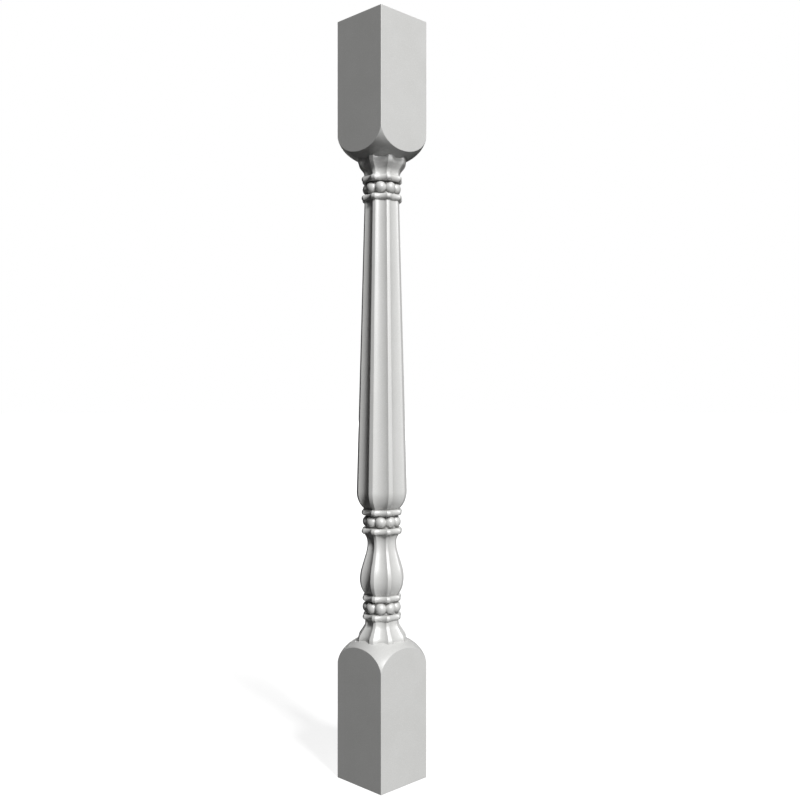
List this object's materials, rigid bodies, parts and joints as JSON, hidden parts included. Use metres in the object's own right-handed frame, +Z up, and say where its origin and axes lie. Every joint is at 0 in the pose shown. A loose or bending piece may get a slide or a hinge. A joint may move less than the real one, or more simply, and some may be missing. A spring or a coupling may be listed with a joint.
{
  "type": "stone baluster",
  "caption": "Slender stone baluster with square end blocks, domed shoulders, a fluted vase and tapered shaft, and bands of beads between rings.",
  "frame": {"origin": "middle of the underside of the lower block, where the baluster stands", "axes": "+Z up the baluster's axis; X and Y square to the faces of the end blocks"},
  "size_m": [0.075, 0.075, 0.9],
  "materials": {
    "stone": "pale grey fine-grained stone, rubbed smooth, matt"
  },
  "bodies": {
    "root": {"baluster": "stone"}
  },
  "joints": []
}
